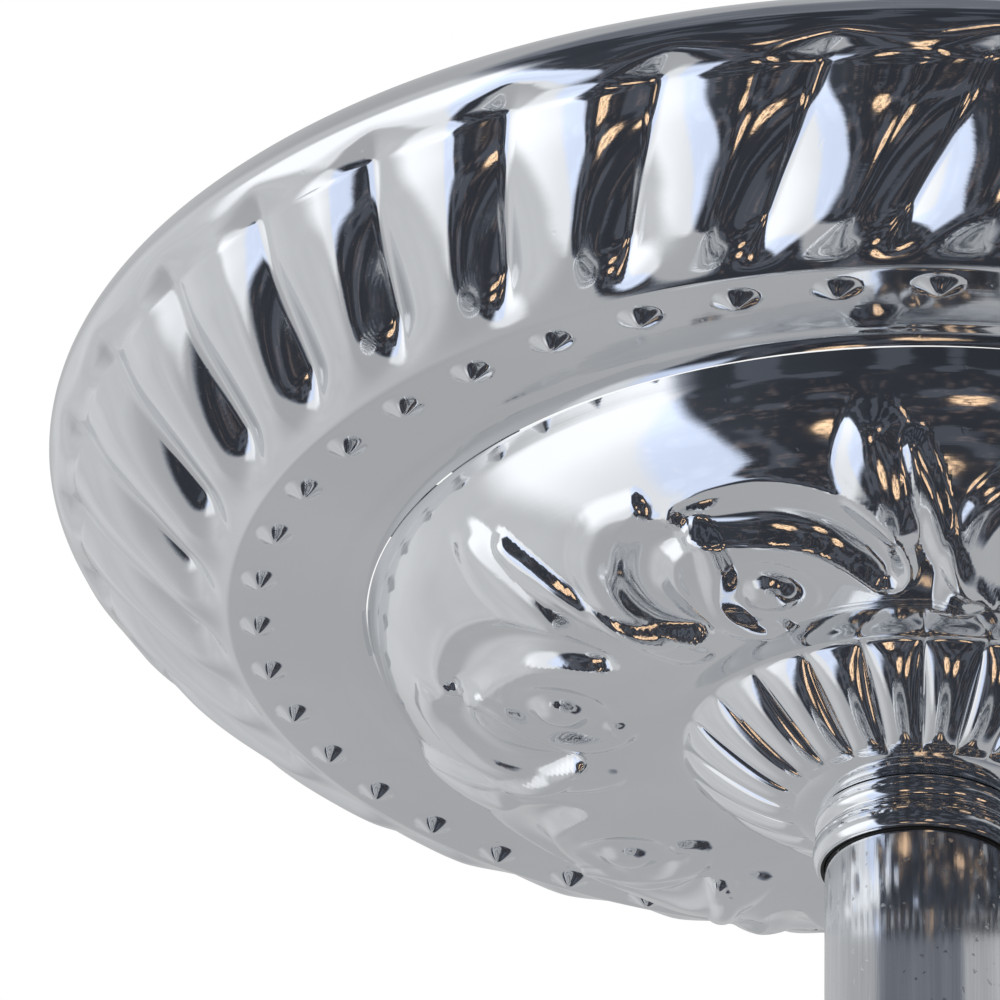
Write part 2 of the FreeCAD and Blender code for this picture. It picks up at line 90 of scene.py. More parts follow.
# ---- settings a user would change -------------------------------------------
class PressingSettings(bpy.types.PropertyGroup):
    """The relief that the three pressings share."""
    lobes: bpy.props.IntProperty(
        name="Lobes", description="Slanting lobes round the sloping wall", default=35, min=12, max=60)
    lobe_height: bpy.props.FloatProperty(
        name="Lobe Height", description="Crest to valley of a lobe, in millimetres", default=2.3, unit="NONE")
    lobe_lean: bpy.props.FloatProperty(
        name="Lobe Lean", description="How far a valley leans between the ridge and the groove",
        default=math.radians(7.3), subtype="ANGLE")
    beads: bpy.props.IntProperty(
        name="Beads", description="Punched beads round the flat ring", default=44, min=8, max=90)
    bead_height: bpy.props.FloatProperty(
        name="Bead Height", description="Height of a bead, in millimetres", default=1.1, unit="NONE")
    scrolls: bpy.props.IntProperty(
        name="Scrolls", description="Repeats of the scroll pattern round the dome", default=7, min=3, max=12)
    reeds: bpy.props.IntProperty(
        name="Reeds", description="Rounded reeds round the boss", default=24, min=8, max=40)
    reed_height: bpy.props.FloatProperty(
        name="Reed Height", description="Height of a reed, in millimetres", default=0.95, unit="NONE")


class FinishSettings(bpy.types.PropertyGroup):
    """Colours of the finishes."""
    chrome: bpy.props.FloatVectorProperty(
        name="Chrome", description="Tint of the bright plating", subtype="COLOR", size=3,
        default=(0.83, 0.845, 0.865), min=0, max=1)
    ruby: bpy.props.FloatVectorProperty(
        name="Ruby", description="Colour of the lamp glass", subtype="COLOR", size=3,
        default=(0.80, 0.010, 0.015), min=0, max=1)
    ivory: bpy.props.FloatVectorProperty(
        name="Ivory", description="Colour of the candle sleeve", subtype="COLOR", size=3,
        default=(0.83, 0.77, 0.62), min=0, max=1)
    glow: bpy.props.FloatVectorProperty(
        name="Glow", description="Colour of the lit filament", subtype="COLOR", size=3,
        default=(1.0, 0.62, 0.28), min=0, max=1)


class StudioSettings(bpy.types.PropertyGroup):
    """The camera and the room that the chrome mirrors."""
    elevation: bpy.props.FloatProperty(
        name="Elevation", description="How far the camera looks up", default=0.501396, subtype="ANGLE")
    distance: bpy.props.FloatProperty(
        name="Distance", description="Camera to the middle of the canopy's flat ring",
        default=10.5602 * PATTERN_R * MM, unit="LENGTH")
    aim_right: bpy.props.FloatProperty(
        name="Aim Right", description="Slope at which the canopy's middle lies right of the view's middle",
        default=0.05997)
    aim_down: bpy.props.FloatProperty(
        name="Aim Down", description="Slope at which the canopy's middle lies under the view's middle",
        default=0.01876)
    roll: bpy.props.FloatProperty(
        name="Roll", description="Tilt of the camera about its own axis", default=-0.0058965, subtype="ANGLE")
    lens: bpy.props.FloatProperty(
        name="Lens", description="Focal length in millimetres on a 36 mm sensor", default=251.05)
    floor_drop: bpy.props.FloatProperty(
        name="Floor Drop", description="Ceiling to floor", default=2.3, unit="LENGTH")


# ---- shader maths -----------------------------------------------------------
class Value:
    """A socket in a node tree that Python's operators work on."""

    def __init__(self, tree, socket):
        self.tree = tree
        self.socket = socket

    def _math(self, operation, *others):
        node = self.tree.nodes.new("ShaderNodeMath")
        node.operation = operation
        for place, value in enumerate((self,) + others):
            if isinstance(value, Value):
                self.tree.links.new(value.socket, node.inputs[place])
            else:
                node.inputs[place].default_value = value
        return Value(self.tree, node.outputs[0])

    def _flipped(self, operation, other):
        node = self.tree.nodes.new("ShaderNodeMath")
        node.operation = operation
        node.inputs[0].default_value = other
        self.tree.links.new(self.socket, node.inputs[1])
        return Value(self.tree, node.outputs[0])

    def __add__(self, other):
        return self._math("ADD", other)

    __radd__ = __add__

    def __mul__(self, other):
        return self._math("MULTIPLY", other)

    __rmul__ = __mul__

    def __sub__(self, other):
        return self._math("SUBTRACT", other)

    def __rsub__(self, other):
        return self._flipped("SUBTRACT", other)

    def __neg__(self):
        return self._flipped("SUBTRACT", 0.0)

    def root(self):
        return self._math("SQRT")

    def angle(self, other):
        return self._math("ARCTAN2", other)

    def step(self, low, high):
        """0 under low, 1 over high and smooth between, or the other way round."""
        node = self.tree.nodes.new("ShaderNodeMapRange")
        node.interpolation_type = "SMOOTHSTEP"
        flip = low > high
        if flip:
            low, high = high, low
        for place, value in ((1, low), (2, high), (3, 1.0 if flip else 0.0), (4, 0.0 if flip else 1.0)):
            node.inputs[place].default_value = value
        self.tree.links.new(self.socket, node.inputs[0])
        return Value(self.tree, node.outputs[0])


class Shader:
    """A material or world being built."""

    def __init__(self, holder):
        holder.use_nodes = True
        self.tree = holder.node_tree
        self.tree.nodes.clear()

    def node(self, kind, settings=None, **inputs):
        """A node of a type, with its settings, and values or links for its sockets."""
        made = self.tree.nodes.new("ShaderNode" + kind)
        for key, value in (settings or {}).items():
            setattr(made, key, value)
        for key, value in inputs.items():
            socket = self._socket(made, key)
            if isinstance(value, Value):
                self.tree.links.new(value.socket, socket)
            else:
                socket.default_value = value
        return made

    def _socket(self, made, key):
        if key[0] == "n" and key[1:].isdigit():
            return made.inputs[int(key[1:])]
        return made.inputs[key.replace("_", " ")]

    def out(self, made, key=0):
        return Value(self.tree, made.outputs[key])

    def point(self):
        """Object coordinates."""
        return self.out(self.node("TexCoord"), "Object")

    def parts(self, where):
        """The three numbers of a vector."""
        split = self.node("SeparateXYZ", Vector=where)
        return [self.out(split, k) for k in range(3)]

    def vector(self, x, y, z):
        return self.out(self.node("CombineXYZ", X=x, Y=y, Z=z))

    def noise(self, where, scale, detail=2.0, roughness=0.5):
        return self.out(self.node("TexNoise", Vector=where, Scale=scale, Detail=detail, Roughness=roughness))

    def mix(self, factor, a, b):
        """One of two colours, or a blend of them."""
        made = self.node("Mix", {"data_type": "RGBA"}, n0=factor, n6=a, n7=b)
        return self.out(made, 2)

    def bump(self, height, strength, distance, under=None):
        inputs = {"Height": height, "Strength": strength, "Distance": distance}
        if under:
            inputs["Normal"] = under
        return self.out(self.node("Bump", **inputs))

    def surface(self, **inputs):
        """The Principled shader, wired to the output."""
        made = self.node("BsdfPrincipled", **inputs)
        self.node("OutputMaterial", Surface=self.out(made))


def colour4(rgb, gain=1.0):
    return tuple(channel * gain for channel in rgb) + (1.0,)


# ---- materials ----------------------------------------------------------------
def material(name, fill):
    """The finish of that name. The frame's own plain materials hold the bare names."""
    name += "_finish"
    found = bpy.data.materials.get(name)
    if found is None:
        found = bpy.data.materials.new(name)
        fill(Shader(found))
    return found


def turned_lines(s, where, pitch):
    """Fine lines left round the lamp's axis by spinning and polishing."""
    x, y, z = s.parts(where)
    r = (x * x + y * y).root()
    return s.noise(s.vector(r * pitch, z * pitch, y.angle(x) * 1.3), 1.0, 3.0, 0.6)


def fill_pressed_chrome(s):
    finish = bpy.context.scene.lamp_finish
    where = s.point()
    lines = turned_lines(s, where, 2600.0)
    cloud = s.noise(where, 42.0, 4.0, 0.55)
    grain = s.noise(where, 1400.0, 2.0, 0.6)
    pits = s.noise(where, 900.0, 1.0, 0.3).step(0.74, 0.80)
    tint = s.mix(cloud.step(0.35, 0.7), colour4(finish.chrome, 0.97), colour4(finish.chrome, 1.03))
    ripple = s.bump(cloud, 0.10, 0.0006)
    brushed = s.bump(lines * 0.75 + grain * 0.25 - pits * 0.8, 0.035, 0.0001, ripple)
    s.surface(Base_Color=tint, Metallic=1.0, Roughness=cloud * 0.03 + grain * 0.035 + 0.028, Normal=brushed)


def fill_turned_chrome(s):
    finish = bpy.context.scene.lamp_finish
    where = s.point()
    lines = turned_lines(s, where, 3400.0)
    smudge = s.noise(where, 90.0, 4.0, 0.6)
    tint = s.mix(smudge.step(0.3, 0.75), colour4(finish.chrome, 0.95), colour4(finish.chrome, 1.03))
    s.surface(Base_Color=tint, Metallic=1.0, Roughness=smudge * 0.06 + 0.03,
              Normal=s.bump(lines, 0.05, 0.0001))


def fill_drawn_chrome(s):
    """Drawn tube: faint streaks along it, and tiny pits in the plating."""
    finish = bpy.context.scene.lamp_finish
    where = s.point()
    x, y, z = s.parts(where)
    streaks = s.noise(s.vector(y.angle(x) * 9.0, z * 16.0, 0.0), 3.0, 4.0, 0.65)
    pits = s.noise(where, 1500.0, 1.0, 0.2).step(0.70, 0.76)
    smudge = s.noise(where, 130.0, 4.0, 0.6)
    tint = s.mix(streaks.step(0.35, 0.7), colour4(finish.chrome, 0.90), colour4(finish.chrome, 1.02))
    rough = streaks * 0.05 + smudge * 0.05 + pits * 0.25 + 0.03
    s.surface(Base_Color=tint, Metallic=1.0, Roughness=rough,
              Normal=s.bump(streaks * 0.8 - pits * 0.6, 0.05, 0.0002))


def fill_zinc(s):
    where = s.point()
    flakes = s.out(s.node("TexVoronoi", {"feature": "F1"}, Vector=where, Scale=420.0), "Color")
    spangle = s.out(s.node("SeparateColor", Color=flakes), 0)
    worn = s.noise(where, 160.0, 5.0, 0.6)
    tint = s.mix(worn.step(0.4, 0.7), (0.42, 0.43, 0.44, 1.0), (0.62, 0.62, 0.60, 1.0))
    s.surface(Base_Color=tint, Metallic=1.0, Roughness=spangle * 0.16 + worn * 0.18 + 0.22,
              Normal=s.bump(worn, 0.15, 0.0002))


def fill_brass(s):
    where = s.point()
    tarnish = s.noise(where, 210.0, 5.0, 0.6)
    tint = s.mix(tarnish.step(0.35, 0.75), (0.78, 0.55, 0.22, 1.0), (0.42, 0.27, 0.10, 1.0))
    s.surface(Base_Color=tint, Metallic=1.0, Roughness=tarnish * 0.25 + 0.14,
              Normal=s.bump(s.noise(where, 1500.0), 0.1, 0.0001))


def moulded(s, low, high, scale, rough, bump):
    """A moulded face: two close tones, a fine grain and faint flow marks."""
    where = s.point()
    grain = s.noise(where, scale, 3.0, 0.6)
    flow = s.noise(where, scale * 0.08, 4.0, 0.5)
    tint = s.mix(flow.step(0.3, 0.7), colour4(low), colour4(high))
    s.surface(Base_Color=tint, Roughness=grain * 0.14 + flow * 0.1 + rough,
              Normal=s.bump(grain, bump, 0.0001))


def fill_rubber(s):
    moulded(s, (0.012, 0.012, 0.013), (0.030, 0.029, 0.028), 1800.0, 0.55, 0.35)


def fill_terminal(s):
    moulded(s, (0.72, 0.71, 0.66), (0.80, 0.79, 0.75), 1500.0, 0.34, 0.15)


def fill_holder(s):
    moulded(s, (0.016, 0.015, 0.015), (0.035, 0.032, 0.030), 1300.0, 0.22, 0.12)


def fill_sheath(s):
    where = s.point()
    scuffs = s.noise(where, 700.0, 4.0, 0.7)
    tint = s.mix(scuffs.step(0.5, 0.8), (0.60, 0.60, 0.58, 1.0), (0.42, 0.42, 0.41, 1.0))
    s.surface(Base_Color=tint, Roughness=scuffs * 0.2 + 0.38, Normal=s.bump(scuffs, 0.12, 0.0001))


def fill_ivory(s):
    finish = bpy.context.scene.lamp_finish
    where = s.point()
    wax = s.noise(where, 70.0, 4.0, 0.55)
    grain = s.noise(where, 900.0, 2.0, 0.5)
    tint = s.mix(wax.step(0.3, 0.7), colour4(finish.ivory, 0.92), colour4(finish.ivory, 1.05))
    s.surface(Base_Color=tint, Roughness=wax * 0.15 + grain * 0.1 + 0.3, Subsurface_Weight=0.15,
              Normal=s.bump(wax * 0.7 + grain * 0.3, 0.2, 0.0003))


def fill_ruby(s):
    finish = bpy.context.scene.lamp_finish
    where = s.point()
    x, y, z = s.parts(where)
    cords = s.noise(s.vector(x * 60.0, y * 60.0, z * 14.0), 1.0, 3.0, 0.5)
    streaks = s.noise(s.vector(x * 24.0, y * 24.0, z * 9.0), 1.0, 2.0, 0.5)
    seeds = s.noise(where, 520.0, 1.0, 0.3).step(0.76, 0.80)
    tint = s.mix(streaks.step(0.3, 0.75), colour4(finish.ruby, 0.82), colour4(finish.ruby, 1.2))
    s.surface(Base_Color=tint, Roughness=cords * 0.03 + 0.015, IOR=1.5, Transmission_Weight=1.0,
              Normal=s.bump(cords + seeds * 0.4, 0.25, 0.0008))


def fill_opal(s):
    where = s.point()
    frost = s.noise(where, 800.0, 3.0, 0.6)
    low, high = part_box("bulb_glass")
    hot = s.parts(where)[2].step(low.z, (low.z + high.z) / 2)
    lit = s.mix(hot * 0.8 + frost * 0.2, colour4((0.9, 0.42, 0.14)), colour4((1.0, 0.72, 0.42)))
    s.surface(Base_Color=(0.86, 0.82, 0.74, 1.0), Roughness=frost * 0.2 + 0.3, Emission_Color=lit,
              Emission_Strength=2.2, Normal=s.bump(frost, 0.1, 0.0001))


def fill_filament(s):
    finish = bpy.context.scene.lamp_finish
    where = s.point()
    coil = s.noise(where, 900.0, 2.0, 0.5)
    lit = s.mix(coil, colour4(finish.glow), colour4((1.0, 0.85, 0.6)))
    s.surface(Base_Color=(0.2, 0.18, 0.16, 1.0), Roughness=0.5, Metallic=1.0, Emission_Color=lit,
              Emission_Strength=12.0)


def fill_floor(s):
    where = s.point()
    speck = s.noise(where, 6.0, 4.0, 0.6)
    tint = s.mix(speck, (0.83, 0.83, 0.82, 1.0), (0.87, 0.87, 0.86, 1.0))
    s.surface(Base_Color=tint, Roughness=speck * 0.1 + 0.6, Emission_Color=(1.0, 1.0, 1.0, 1.0),
              Emission_Strength=0.42)


FINISHES = {
    "pressed_chrome": fill_pressed_chrome, "turned_chrome": fill_turned_chrome,
    "drawn_chrome": fill_drawn_chrome, "zinc_steel": fill_zinc, "brass": fill_brass,
    "black_rubber": fill_rubber, "terminal_plastic": fill_terminal, "holder_plastic": fill_holder,
    "lead_sheath": fill_sheath, "ivory_sleeve": fill_ivory, "ruby_glass": fill_ruby,
    "opal_glass": fill_opal, "filament": fill_filament, "floor": fill_floor,
}


# ---- modelling helpers ----------------------------------------------------------
def put_down(name, mesh):
    """A new piece, alone selected and active."""
    piece = bpy.data.objects.new(name, mesh)
    bpy.context.scene.collection.objects.link(piece)
    bpy.ops.object.select_all(action="DESELECT")
    piece.select_set(True)
    bpy.context.view_layer.objects.active = piece
    return piece


def finish_piece(piece, body, slot, finish, *nodes, crease=40.0):
    """Smooths a piece but for its creases, gives it its finish, hangs it on its body's empty and hides the
    nodes that it stands for.
    """
    bpy.ops.object.select_all(action="DESELECT")
    piece.select_set(True)
    bpy.context.view_layer.objects.active = piece
    bpy.ops.object.shade_smooth_by_angle(angle=math.radians(crease))
    piece.data.materials.clear()
    piece.data.materials.append(material(finish, FINISHES[finish]))
    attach(piece, body)
    if nodes:
        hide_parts(*nodes)
    return piece


def spin_outline(name, outline, steps, centre=(0.0, 0.0), closed=True):
    """Spins an outline of (radius, height) points round the Z axis through centre, one sector of the turn,
    and completes the turn with turned copies of that sector."""
    sectors = max(k for k in range(1, 23) if steps % k == 0)
    mesh = bpy.data.meshes.new(name)
    points = [(centre[0] + r, centre[1], z) for r, z in outline]
    edges = [(k, k + 1) for k in range(len(points) - 1)]
    if closed:
        edges.append((len(points) - 1, 0))
    mesh.from_pydata(points, edges, [])
    piece = put_down(name, mesh)
    bpy.ops.object.mode_set(mode="EDIT")
    bpy.ops.mesh.select_all(action="SELECT")
    bpy.ops.mesh.spin(steps=steps // sectors, angle=2 * math.pi / sectors, center=(centre[0], centre[1], 0.0),
                      axis=(0, 0, 1))
    bpy.ops.object.mode_set(mode="OBJECT")
    middle = Matrix.Translation((centre[0], centre[1], 0.0))
    for k in range(1, sectors):
        copy = piece.copy()
        copy.data = piece.data.copy()
        turn = Matrix.Rotation(2 * math.pi * k / sectors, 4, "Z")
        copy.data.transform(middle @ turn @ middle.inverted())
        bpy.context.scene.collection.objects.link(copy)
        copy.select_set(True)
    piece.select_set(True)
    bpy.context.view_layer.objects.active = piece
    if sectors > 1:
        bpy.ops.object.join()
    bpy.ops.object.mode_set(mode="EDIT")
    bpy.ops.mesh.select_all(action="SELECT")
    bpy.ops.mesh.remove_doubles(threshold=1e-6)
    bpy.ops.mesh.normals_make_consistent(inside=False)
    bpy.ops.object.mode_set(mode="OBJECT")
    return piece


def rounded(corners, steps=4):
    """The outline of (radius, height, rounding) corners, each rounded by a small curve."""
    outline = []
    count = len(corners)
    for k, (r, z, rounding) in enumerate(corners):
        here = Vector((r, z))
        if rounding <= 0:
            outline.append((r, z))
            continue
        before = (Vector(corners[k - 1][:2]) - here).normalized() * rounding
        after = (Vector(corners[(k + 1) % count][:2]) - here).normalized() * rounding
        for n in range(steps + 1):
            t = n / steps
            at = here + before * (1 - t) ** 2 + after * t ** 2
            outline.append((at.x, at.y))
    return outline


def smooth_through(points, count):
    """count points evenly along a smooth curve through the given ones."""
    p = np.array(points, float)
    ends = np.vstack([2 * p[0] - p[1], p, 2 * p[-1] - p[-2]])
    t = np.linspace(0, 1, 24, endpoint=False)[:, None]
    fine = []
    for k in range(len(p) - 1):
        a, b, c, d = ends[k:k + 4]
        fine.append(0.5 * (2 * b + (c - a) * t + (2 * a - 5 * b + 4 * c - d) * t ** 2
                           + (3 * b - a - 3 * c + d) * t ** 3))
    fine = np.vstack(fine + [p[-1:]])
    run = np.concatenate([[0], np.cumsum(np.hypot(*np.diff(fine[:, :2], axis=0).T))])
    places = np.linspace(0, run[-1], count)
    return np.column_stack([np.interp(places, run, fine[:, k]) for k in range(fine.shape[1])])


def from_node(node, bevel=0.00025, crease=35.0):
    """A CAD node's solids with their edges eased."""
    mesh = frame["nodes"][node].data.copy()
    piece = put_down(node + "_piece", mesh)
    bpy.ops.object.mode_set(mode="EDIT")
    bpy.ops.mesh.select_all(action="SELECT")
    bpy.ops.mesh.remove_doubles(threshold=1e-6)
    bpy.ops.mesh.dissolve_limited(angle_limit=math.radians(0.5))
    bpy.ops.object.mode_set(mode="OBJECT")
    if bevel:
        modifier = piece.modifiers.new("Eased", "BEVEL")
        modifier.width = bevel
        modifier.segments = 2
        modifier.limit_method = "ANGLE"
        modifier.angle_limit = math.radians(crease)
        modifier.use_clamp_overlap = True
        bpy.ops.object.modifier_apply(modifier="Eased")
    return piece


# ---- the relief of the pressing ---------------------------------------------------
def ease(value, low, high):
    """0 at low and 1 at high, smooth between."""
    t = np.clip((value - low) / (high - low), 0.0, 1.0)
    return t * t * (3 - 2 * t)


# The scroll pattern, one repeat. Each stroke is a line of (degrees, radius in pattern units, half width),
# with its height in millimetres, under zero where it is sunk, and the height of the rolled edge round it.
STROKES = [
    # the large leaf, sunk like a spoon
    ([(-28.0, .703, .022), (-24.0, .698, .034), (-18.0, .690, .042), (-12.0, .668, .045),
      (-7.5, .628, .046), (-5.0, .580, .036), (-4.6, .556, .026)], -1.05, 0.14),
    # the small leaf beside it
    ([(-30.5, .690, .022), (-34.5, .682, .036), (-37.8, .640, .044), (-38.3, .590, .042),
      (-37.6, .545, .030), (-36.8, .520, .020)], -0.85, 0.14),
    # the curl that hooks under the knob
    ([(-27.5, .690, .020), (-26.8, .655, .026), (-28.2, .600, .029), (-30.8, .535, .028),
      (-31.5, .485, .028), (-28.5, .448, .024), (-24.6, .462, .018)], 0.5, 0.0),
    # the outer band round the small leaf, with its foot
    ([(-33.0, .738, .020), (-38.5, .730, .026), (-43.2, .690, .032), (-45.2, .615, .032),
      (-45.6, .540, .032), (-44.6, .475, .038)], 0.55, 0.0),
    # the petal under the shoulder
    ([(-4.6, .765, .050), (-4.4, .735, .064), (-3.6, .695, .056), (-2.6, .660, .034)], 0.85, 0.0),
    # its stalk
    ([(-0.2, .760, .020), (1.0, .720, .025), (2.6, .660, .027), (4.6, .600, .025), (8.0, .545, .024),
      (12.0, .512, .018)], 0.75, 0.0),
]
KNOB = (-22.6, .552, .034, 0.6)                 # degrees, radius, half width, height
TROUGH_ROUND_KNOB = (.056, .022, 0.38)          # radius, half width, depth


def flat_place(degrees, r):
    """x and y of a place that many degrees round from -Y."""
    t = np.radians(degrees)
    return r * np.sin(t), -r * np.cos(t)


def stroke_height(x, y, line, height, edge):
    """How high one stroke of the pattern lifts the sheet at x, y."""
    line = smooth_through([flat_place(t, r) + (w,) for t, r, w in line], 30)
    nearest = np.full(x.shape, 9.0)
    for (ax, ay, aw), (bx, by, bw) in zip(line, line[1:]):
        dx, dy = bx - ax, by - ay
        t = np.clip(((x - ax) * dx + (y - ay) * dy) / (dx * dx + dy * dy), 0, 1)
        gap = np.hypot(x - ax - t * dx, y - ay - t * dy) / (aw + t * (bw - aw))
        nearest = np.minimum(nearest, gap)
    inside = np.clip(1 - nearest ** 2, 0, 1)
    body = height * inside ** 1.25
    return body + edge * np.exp(-((nearest - 1.12) / 0.2) ** 2)


def ripple(x, y):
    """The slight unevenness that the press leaves, in millimetres."""
    total = np.zeros_like(x)
    for k, (waves, turn) in enumerate(((5, .3), (8, 1.9), (11, 2.6), (14, .9), (19, 2.2), (23, 1.2))):
        total += np.sin(waves * (x * math.cos(turn) + y * math.sin(turn)) + k) * 0.12 / waves
    return total


def dome_relief(r, t, settings):
    """Scrolls on the dome and reeds round the boss."""
    r = r / PATTERN_R
    height = ripple(*flat_place(t, r))
    repeat = 360.0 / settings.scrolls
    field = (r > 0.40) & (r < 0.83)
    rf = r[field]
    tf = (t[field] + 20.0 + repeat / 2) % repeat - 20.0 - repeat / 2
    raised = np.zeros_like(rf)
    for shift in (-repeat, 0.0, repeat):
        x, y = flat_place(tf + shift, rf)
        for line, tall, edge in STROKES:
            raised += stroke_height(x, y, line, tall, edge)
        kx, ky = flat_place(KNOB[0], KNOB[1])
        gap = np.hypot(x - kx, y - ky)
        raised += KNOB[3] * np.clip(1 - (gap / KNOB[2]) ** 2, 0, 1) ** 0.7
        radius, half, depth = TROUGH_ROUND_KNOB
        raised -= depth * np.clip(1 - ((gap - radius) / half) ** 2, 0, 1)
    height[field] += raised * ease(rf, .815, .78)
    phase = ((t + 6.2) * settings.reeds / 360.0 + 0.5) % 1.0 - 0.5
    across = np.clip(1 - (2 * phase) ** 2, 0, 1) ** 0.6
    along = np.clip(1 - ((r - 0.272) / 0.078) ** 2, 0, 1) ** 0.5
    height += settings.reed_height * across * along
    return height


def ring_relief(r, t, settings):
    """Punched beads, and the faint step where the ring was struck."""
    spacing = 360.0 / settings.beads
    off = (t - 1.8 + spacing / 2) % spacing - spacing / 2
    across = np.radians(off) * PATTERN_R / 1.75
    along = (r - PATTERN_R) / 1.45
    gap = np.sqrt(across ** 2 + along ** 2 + 0.03)
    bead = settings.bead_height * np.clip(1.17 - gap, 0, None) ** 1.25
    step = 0.16 * ease(r, 49.9, 49.2) * ease(r, 46.7, 47.6)
    rough = ripple(*flat_place(t, r / PATTERN_R)) * ease(r, 50.5, 47.0)
    return bead + step * (1 + 0.3 * np.sin(np.radians(t * 3.0))) + rough


def wall_relief(r, t, settings):
    """Slanting lobes with a broad flank, a steep flank and sharp valleys. t runs along the lean."""
    along = (r - RIDGE_R) / (GROOVE_R - RIDGE_R)
    phase = (t * settings.lobes / 360.0) % 1.0
    crest = 0.60
    out = np.where(phase < crest, (crest - phase) / crest, (phase - crest) / (1 - crest))
    lobe = 1 - np.where(phase < crest, out ** 2, out ** 1.4)
    tall = settings.lobe_height * ease(along, 0.04, 0.32) * (1 - 0.48 * ease(along, 0.35, 1.0))
    level = lobe - 0.66 + 0.2 * ease(along, 0.5, 1.0)
    return tall * level + ripple(*flat_place(t, r / PATTERN_R)) * ease(along, 0.0, 0.2)


# ---- the pressing ---------------------------------------------------------------
VALLEY_AT = -9.6                                # degrees of one valley at 1.15 pattern units
BLEND_R = 0.35                                  # half the length of the ridge's rounding


def ridge_rounding():
    """The small curve between the flat ring and the wall."""
    rise = Vector((WALL[0][0] - RIDGE_R, WALL[0][1])).normalized() * BLEND_R
    points = []
    for n in range(7):
        t = n / 6
        points.append((RIDGE_R - BLEND_R * (1 - t) ** 2 + rise.x * t ** 2, rise.y * t ** 2))
    return points


def zone_fronts(detail):
    """The visible line of each zone, from the outside in."""
    rounding = ridge_rounding()
    rim = smooth_through(RIM, int(14 * detail) + 4)
    wall = smooth_through([rounding[-1]] + WALL, int(46 * detail))
    outer = np.linspace(rounding[0][0], 57.6, 3)
    beads = np.linspace(57.4, 54.4, int(18 * detail) + 4)
    inner = np.linspace(54.0, SHOULDER_R + 0.15, int(12 * detail) + 4)
    flat = [(r, 0.0) for r in np.concatenate([outer[1:], beads, inner])]
    return {
        "wall": np.array(list(rim[::-1]) + list(wall[::-1])),
        "ring": np.array(rounding[::-1] + flat),
        "dome": smooth_through(DOME, int(104 * detail)),
    }


def line_normals(line):
    """Unit normals of a line of (r, z) points, to the visible side."""
    along = np.gradient(line, axis=0)
    normal = np.column_stack([-along[:, 1], along[:, 0]])
    normal /= np.linalg.norm(normal, axis=1)[:, None]
    return normal


RELIEF = {"dome": dome_relief, "ring": ring_relief, "wall": wall_relief}
STEPS = {"dome": 728, "ring": 1320, "wall": 770}


def emboss(piece, zone, front, normals, back_every, settings):
    """Raises the relief on both faces of a spun zone, along the normals of its line."""
    mesh = piece.data
    co = np.empty(len(mesh.vertices) * 3)
    mesh.vertices.foreach_get("co", co)
    co = co.reshape(-1, 3) / MM
    r = np.hypot(co[:, 0], co[:, 1])
    t = np.degrees(np.arctan2(co[:, 0], -co[:, 1]))
    back = front[back_every] - SHEET * normals[back_every]
    places = np.vstack([front, back])
    source = np.concatenate([np.arange(len(front)), back_every])
    index = np.empty(len(co), int)
    for start in range(0, len(co), 20000):
        part = slice(start, start + 20000)
        gap = (r[part, None] - places[:, 0]) ** 2 + (co[part, 2, None] - places[:, 1]) ** 2
        index[part] = gap.argmin(axis=1)
    where = source[index]
    front_r = front[where, 0]
    height = RELIEF[zone](front_r, t, settings) * ease(front[where, 1], 12.5, 10.5)
    new_r = r + normals[where, 0] * height
    new_z = co[:, 2] + normals[where, 1] * height
    if zone == "wall":
        lean = math.degrees(settings.lobe_lean) / (GROOVE_R - RIDGE_R)
        t = t + VALLEY_AT + (front_r - 1.15 * PATTERN_R) * lean
    x, y = flat_place(t, new_r)
    out = np.column_stack([x, y, new_z]) * MM
    mesh.vertices.foreach_set("co", out.ravel())
    mesh.update()


def build_pan(node, level, upside_down, detail):
    """One pressing in three zones, its flat ring at level."""
    settings = bpy.context.scene.lamp_pressing
    for zone, front in zone_fronts(detail).items():
        normals = line_normals(front)
        back_every = np.unique(np.linspace(0, len(front) - 1, max(8, int(24 * detail))).astype(int))
        back = front[back_every] - SHEET * normals[back_every]
        outline = np.vstack([front, back[::-1]]) * MM
        steps = STEPS[zone] if detail == 1 else STEPS[zone] // 2
        piece = spin_outline(node + "_" + zone, [tuple(p) for p in outline], steps)
        emboss(piece, zone, front, normals, back_every, settings)
        place = Matrix.Translation((0, 0, level))
        if upside_down:
            place = place @ Matrix.Rotation(math.pi, 4, "X")
        piece.data.transform(place)
        finish_piece(piece, NODE_BODY[node], "chrome", "pressed_chrome", node, crease=75.0)


class LAMP_OT_pans(bpy.types.Operator):
    """Build the embossed canopy, crown and bowl from one pressing"""
    bl_idname = "lamp.pans"
    bl_label = "Canopy, Crown and Bowl"

    def execute(self, context):
        build_pan("canopy_pan", CANOPY_Z, False, 1)
        build_pan("crown_pan", CROWN_Z, True, 0.6)
        build_pan("bowl_pan", BOWL_Z, False, 0.6)
        return {"FINISHED"}


# ---- the rings and the stem -----------------------------------------------------
def ring_outline(top, low, bore, outer):
    """A turned ring: a rounded bead, a groove, a step and a rounded lip."""
    bead = [(outer - 0.00055, 0.0, 0.0002), (outer - 0.0001, 0.10, 0.0004), (outer - 0.0001, 0.30, 0.0005),
            (outer - 0.00065, 0.40, 0.0001), (outer - 0.00065, 0.47, 0.0001), (outer - 0.0002, 0.53, 0.0002),
            (outer, 0.60, 0.0004), (outer, 0.86, 0.0005), (outer - 0.00045, 1.0, 0.0002)]
    seat = bore + 0.00042
    inner = [(seat, 1.0, 0.0001), (seat, 0.82, 0.0), (bore, 0.82, 0.0), (bore, 0.0, 0.0)]
    return rounded([(r, top - (top - low) * share, rounding) for r, share, rounding in bead + inner])


